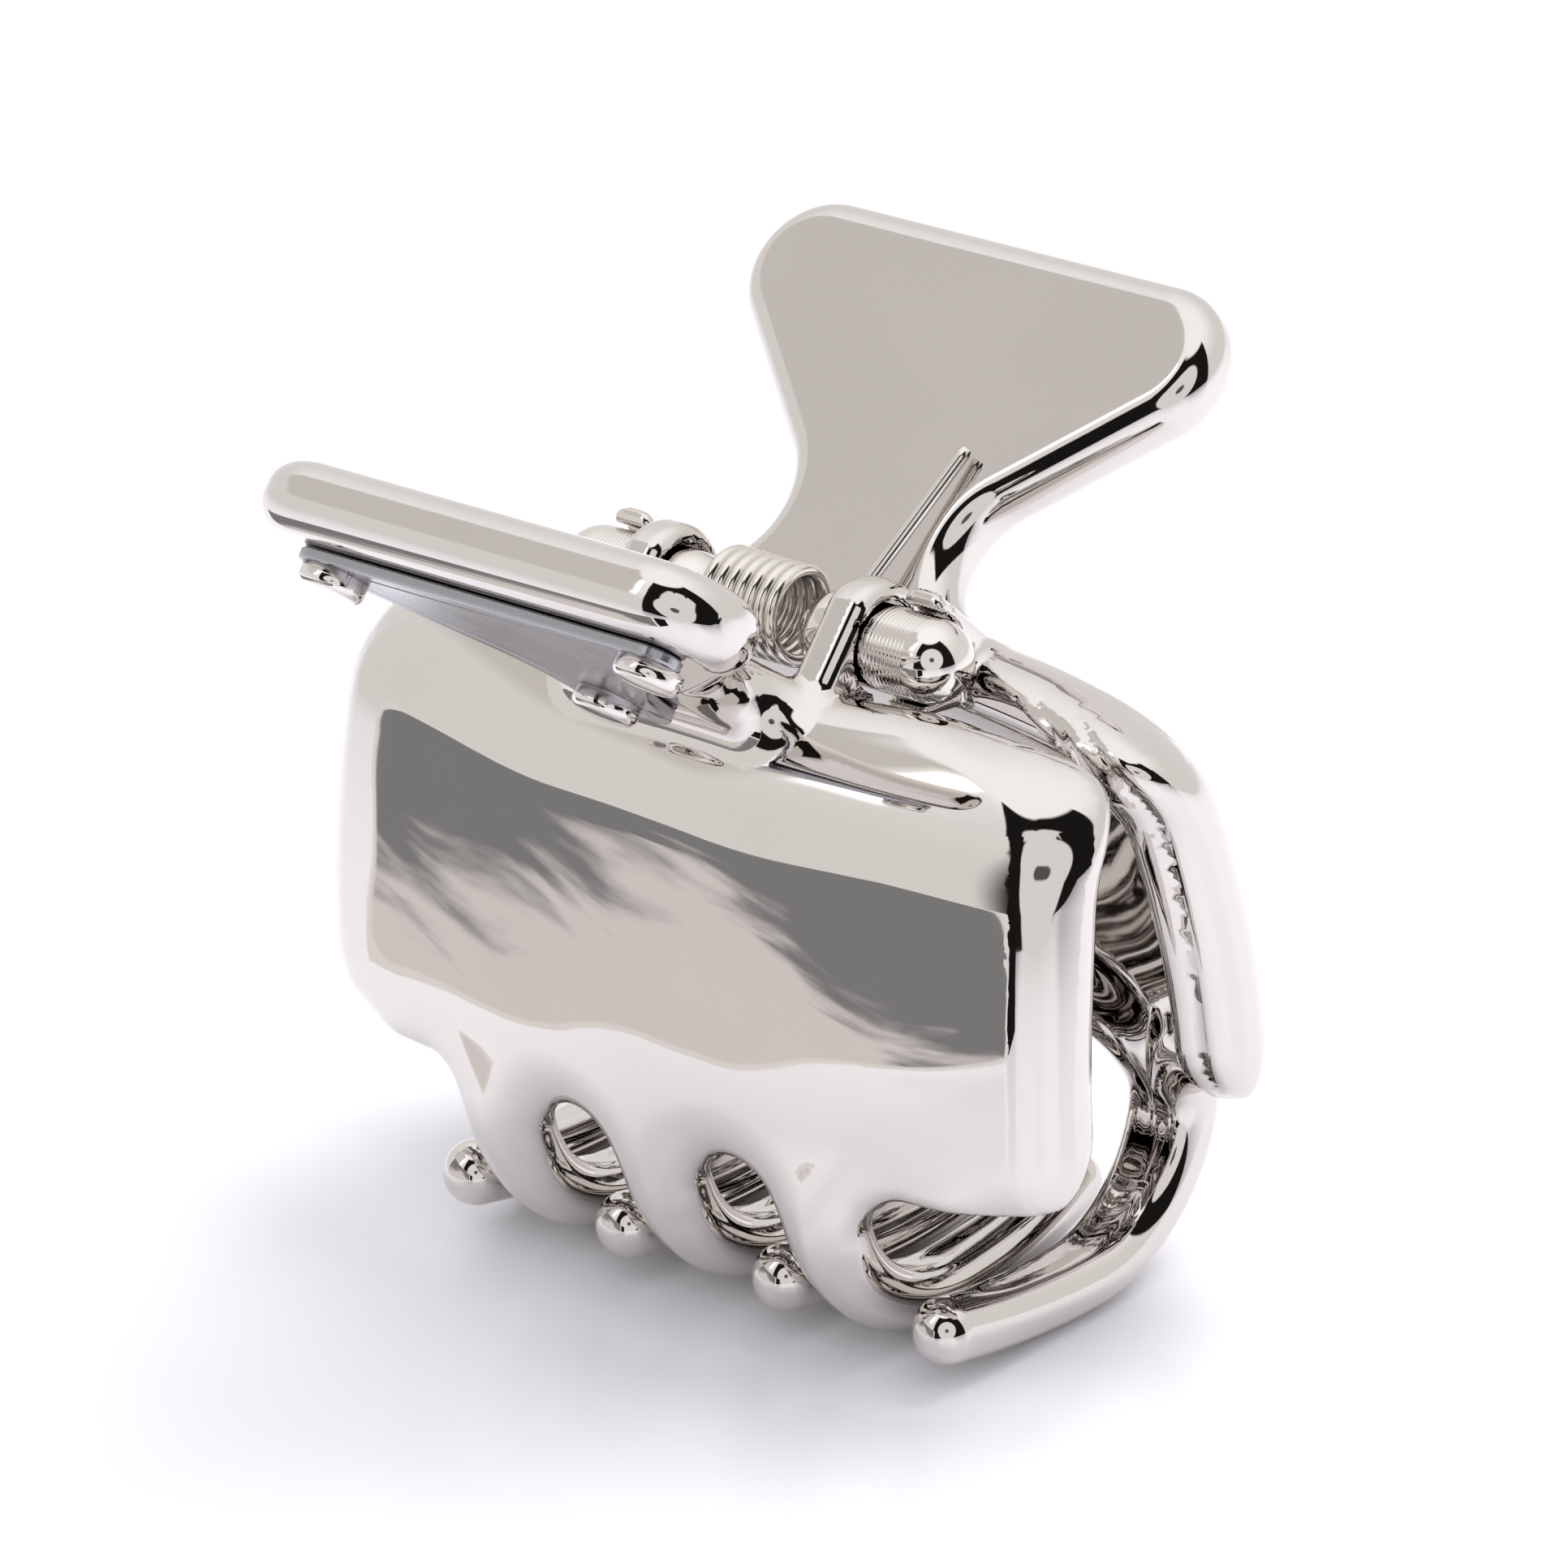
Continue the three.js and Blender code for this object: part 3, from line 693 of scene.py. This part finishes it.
NICKEL = (0.72, 0.683, 0.658)
casting_metal = metal("polished_casting", NICKEL, 0.015, 0.045, 0.00003, 0.0000001)
pin_metal = metal("turned_pin", (0.78, 0.74, 0.71), 0.03, 0.07, 0.00001, 0.0000002)
wire_metal = metal("spring_wire", (0.76, 0.72, 0.68), 0.10, 0.2, 0.00001, 0.0000006)
badge_metal = metal("brushed_badge", (0.42, 0.42, 0.45), 0.22, 0.34, 0.00001, 0.000002)

for obj, finish, slot in (
    (back_casting, casting_metal, "polished_casting"),
    (front_casting, casting_metal, "polished_casting"),
    (pins[0], pin_metal, "turned_pin"),
    (pins[1], pin_metal, "turned_pin"),
    (wire, wire_metal, "spring_wire"),
    (badge_piece, badge_metal, "badge_face"),
    (rivets[0], pin_metal, "turned_pin"),
    (rivets[1], pin_metal, "turned_pin"),
    (rivets[2], pin_metal, "turned_pin"),
):
    obj.data.materials.clear()
    obj.data.materials.append(finish)

# ---- camera ----
CAMERA_AZ = 42.87 * DEG
CAMERA_EL = 24.36 * DEG
CAMERA_ROLL = -4.38 * DEG
CAMERA_PLACE = (318.15, -342.36, 202.75)          # from the middle of the hinge
FOCAL_SHARE = 6.910                              # focal length over the picture's width
toward = Vector((math.sin(CAMERA_AZ) * math.cos(CAMERA_EL),
                 -math.cos(CAMERA_AZ) * math.cos(CAMERA_EL), math.sin(CAMERA_EL)))
level = Vector((math.cos(CAMERA_AZ), math.sin(CAMERA_AZ), 0))
upright = toward.cross(level)
right = level * math.cos(CAMERA_ROLL) + upright * math.sin(CAMERA_ROLL)
camera_data = bpy.data.cameras.new("camera")
camera = bpy.data.objects.new("camera", camera_data)
bpy.context.scene.collection.objects.link(camera)
camera_data.sensor_width = 36.0
camera_data.lens = FOCAL_SHARE * 36.0
camera_data.clip_start = 0.01
camera_data.clip_end = 10
camera.location = (Vector(CAMERA_PLACE) + Vector((0, 0, HINGE_Z))) * MM
camera.rotation_mode = "QUATERNION"
axes = Matrix((right, toward.cross(right), toward)).transposed()
camera.rotation_quaternion = axes.to_quaternion()
bpy.context.scene.camera = camera


# ---- floor ----
def stage_sheet(name, corners):
    mesh = bpy.data.meshes.new(name)
    mesh.from_pydata([tuple(c) for c in corners], [], [(0, 1, 2, 3)])
    mesh.uv_layers.new(name="place")
    for loop, uv in zip(mesh.uv_layers[0].data, ((0, 0), (1, 0), (1, 1), (0, 1))):
        loop.uv = uv
    obj = bpy.data.objects.new(name, mesh)
    bpy.context.scene.collection.objects.link(obj)
    return obj


FLOOR = 2.0
floor = stage_sheet("floor", [(-FLOOR, -FLOOR, 0), (FLOOR, -FLOOR, 0),
                              (FLOOR, FLOOR, 0), (-FLOOR, FLOOR, 0)])
made, nodes, links, shader = material("floor")
shader.inputs["Base Color"].default_value = (0.86, 0.855, 0.90, 1)
shader.inputs["Roughness"].default_value = 0.22
shader.inputs["Specular IOR Level"].default_value = 0.35
floor.data.materials.append(made)


# ---- tent: what the metal mirrors ----
class Wiring:
    """Short hand for arithmetic in a node tree."""

    def __init__(self, tree):
        self.nodes, self.links = tree.nodes, tree.links

    def put(self, socket, value):
        if isinstance(value, (int, float)):
            socket.default_value = value
        else:
            self.links.new(value, socket)

    def do(self, operation, a, b=0.0, c=0.0):
        node = self.nodes.new("ShaderNodeMath")
        node.operation = operation
        for socket, value in zip(node.inputs, (a, b, c)):
            self.put(socket, value)
        return node.outputs[0]

    def dot(self, vector, direction):
        node = self.nodes.new("ShaderNodeVectorMath")
        node.operation = "DOT_PRODUCT"
        self.links.new(vector, node.inputs[0])
        node.inputs[1].default_value = tuple(direction)
        return node.outputs["Value"]

    def step(self, value, low, high):
        node = self.nodes.new("ShaderNodeMapRange")
        node.interpolation_type = "SMOOTHSTEP"
        self.put(node.inputs["Value"], value)
        node.inputs["From Min"].default_value = low
        node.inputs["From Max"].default_value = high
        return node.outputs["Result"]

    def band(self, value, low, high, soft):
        rise = self.step(value, low - soft, low + soft)
        fall = self.step(value, high - soft, high + soft)
        return self.do("SUBTRACT", rise, fall)

    def mix(self, share, a, b):
        node = self.nodes.new("ShaderNodeMix")
        node.data_type = "RGBA"
        self.put(node.inputs["Factor"], share)
        for name, value in (("A", a), ("B", b)):
            socket = [s for s in node.inputs if s.name == name and s.type == "RGBA"][0]
            if isinstance(value, tuple):
                socket.default_value = (*value, 1)
            else:
                self.links.new(value, socket)
        return [s for s in node.outputs if s.type == "RGBA"][0]


def tent():
    world = bpy.data.worlds.new("tent")
    bpy.context.scene.world = world
    world.use_nodes = True
    w = Wiring(world.node_tree)
    background = w.nodes["Background"]
    ray = w.nodes.new("ShaderNodeTexCoord").outputs["Generated"]
    height = w.do("MULTIPLY", w.do("ARCSINE", w.dot(ray, (0, 0, 1))), 180 / math.pi)
    ahead = w.dot(ray, (math.sin(CAMERA_AZ), -math.cos(CAMERA_AZ), 0))
    across = w.dot(ray, level)
    turn = w.do("MULTIPLY", w.do("ARCTAN2", across, ahead), 180 / math.pi)
    to_camera = w.do("MULTIPLY", w.do("ARCCOSINE", w.dot(ray, toward)), 180 / math.pi)
    overhead = w.step(height, 20, 75)
    color = w.mix(overhead, (0.90, 0.885, 0.87), (1.25, 1.25, 1.25))
    dark = w.do("MULTIPLY", w.band(turn, -50, 62, 1.5), w.band(height, -20, 66, 2.0))
    color = w.mix(dark, color, (0.012, 0.011, 0.010))
    lamp = w.do("MULTIPLY", w.band(turn, -78, -66, 1.5), w.band(height, 36, 58, 1.5))
    color = w.mix(lamp, color, (2.0, 2.0, 2.0))
    veil = w.do("MULTIPLY", w.band(turn, -135, -81, 3.0), w.band(height, 29, 62, 3.0))
    color = w.mix(veil, color, (0.745, 0.722, 0.705))
    disc = w.step(to_camera, 30.5, 28.5)
    color = w.mix(disc, color, (0.92, 0.91, 0.90))
    lens = w.step(to_camera, 7.5, 5.0)
    color = w.mix(lens, color, (0.12, 0.11, 0.11))
    path = w.nodes.new("ShaderNodeLightPath")
    color = w.mix(path.outputs["Is Glossy Ray"], (1.12, 1.12, 1.13), color)
    w.links.new(color, background.inputs["Color"])


tent()
bpy.context.scene.view_settings.view_transform = "Standard"


def mirrored_card():
    """A grey card beside the camera, seen only in the metal, drawn glowing: its grey, its sheen and
    its bright edges are painted light.
    """
    heading = -43 * DEG
    out = Vector((math.sin(heading), -math.cos(heading), 0))
    along = Vector((math.cos(heading), math.sin(heading), 0))
    foot = Vector((0, -12.0, 0)) + out * 42
    left, right_end, low, high = -31.0, 100.0, 0.3, 29.0
    corners = [foot + along * a + Vector((0, 0, h)) for a, h in
               ((left, low), (right_end, low), (right_end, high), (left, high))]
    card = stage_sheet("grey_card", [c * MM for c in corners])
    card.visible_camera = False
    card.visible_diffuse = False
    card.visible_shadow = False
    made = bpy.data.materials.new("grey_card")
    made.use_nodes = True
    w = Wiring(made.node_tree)
    w.nodes.remove(w.nodes["Principled BSDF"])
    glow = w.nodes.new("ShaderNodeEmission")
    place = w.nodes.new("ShaderNodeUVMap")
    split = w.nodes.new("ShaderNodeSeparateXYZ")
    w.links.new(place.outputs["UV"], split.inputs["Vector"])
    across, up = split.outputs["X"], split.outputs["Y"]
    grey_end = 55.5
    run = w.do("MULTIPLY_ADD", across, right_end - left, left)
    lift = w.do("MULTIPLY_ADD", up, high - low, low)
    place_mm = w.nodes.new("ShaderNodeCombineXYZ")
    w.links.new(run, place_mm.inputs["X"])
    w.links.new(lift, place_mm.inputs["Y"])
    turned = w.nodes.new("ShaderNodeMapping")
    turned.vector_type = "TEXTURE"
    turned.inputs["Rotation"].default_value = (0, 0, -0.22)
    turned.inputs["Scale"].default_value = (16.0, 2.6, 1.0)
    w.links.new(place_mm.outputs["Vector"], turned.inputs["Vector"])
    # painted sheen: a pale, streaky cloud of painted reflected light over the lower part of the grey
    # card, below a wavy line
    sheen_streaks = w.nodes.new("ShaderNodeTexNoise")
    sheen_streaks.inputs["Scale"].default_value = 1.0
    sheen_streaks.inputs["Detail"].default_value = 4
    w.links.new(turned.outputs["Vector"], sheen_streaks.inputs["Vector"])
    share = w.do("DIVIDE", w.do("ADD", run, -left), grey_end - left)
    hump = w.do("MULTIPLY", w.do("ADD", share, -0.44), 4.6)
    hump = w.do("DIVIDE", 1.0, w.do("MULTIPLY_ADD", hump, hump, 1.0))
    fall = w.do("MULTIPLY", w.do("MAXIMUM", w.do("ADD", share, -0.62), 0.0), 0.9)
    level_line = w.do("SUBTRACT", w.do("MULTIPLY_ADD", hump, 0.48, 0.22), fall)
    depth = w.do("SUBTRACT", level_line, up)
    depth = w.do("ADD", depth, w.do("MULTIPLY_ADD", sheen_streaks.outputs["Fac"], 0.9, -0.45))
    painted_sheen = w.step(depth, -0.10, 0.20)
    color = w.mix(painted_sheen, (0.262, 0.262, 0.272), (0.84, 0.80, 0.79))
    # painted highlight: a thin bright rim round the grey and a bright strip of painted light at its
    # end; a black strip lies past that
    radius = 3.0
    middle = (left + grey_end) / 2
    beyond = w.do("ADD", w.do("ABSOLUTE", w.do("ADD", run, -middle)), radius - (grey_end - left) / 2)
    over = w.do("ADD", w.do("ABSOLUTE", w.do("ADD", lift, -(low + high) / 2)),
                radius - (high - low) / 2)
    beyond, over = w.do("MAXIMUM", beyond, 0.0), w.do("MAXIMUM", over, 0.0)
    corner = w.do("SQRT", w.do("ADD", w.do("MULTIPLY", beyond, beyond),
                               w.do("MULTIPLY", over, over)))
    color = w.mix(w.step(corner, radius - 0.75, radius - 0.45), color, (0.95, 0.92, 0.89))
    color = w.mix(w.step(run, grey_end, grey_end + 0.4), color, (0.95, 0.94, 0.93))
    color = w.mix(w.step(run, grey_end + 5, grey_end + 5.5), color, (0.012, 0.011, 0.010))
    w.links.new(color, glow.inputs["Color"])
    w.links.new(glow.outputs[0], w.nodes["Material Output"].inputs["Surface"])
    card.data.materials.append(made)


mirrored_card()

lamp_data = bpy.data.lights.new("overhead", "AREA")
lamp_data.shape = "DISK"
lamp_data.size = 0.35
lamp_data.energy = 1.6
lamp = bpy.data.objects.new("overhead", lamp_data)
bpy.context.scene.collection.objects.link(lamp)
lamp.location = (0.12, 0.22, 0.5)
lamp.rotation_mode = "QUATERNION"
lamp.rotation_quaternion = lamp.location.to_track_quat("Z", "Y")
lamp.visible_glossy = False
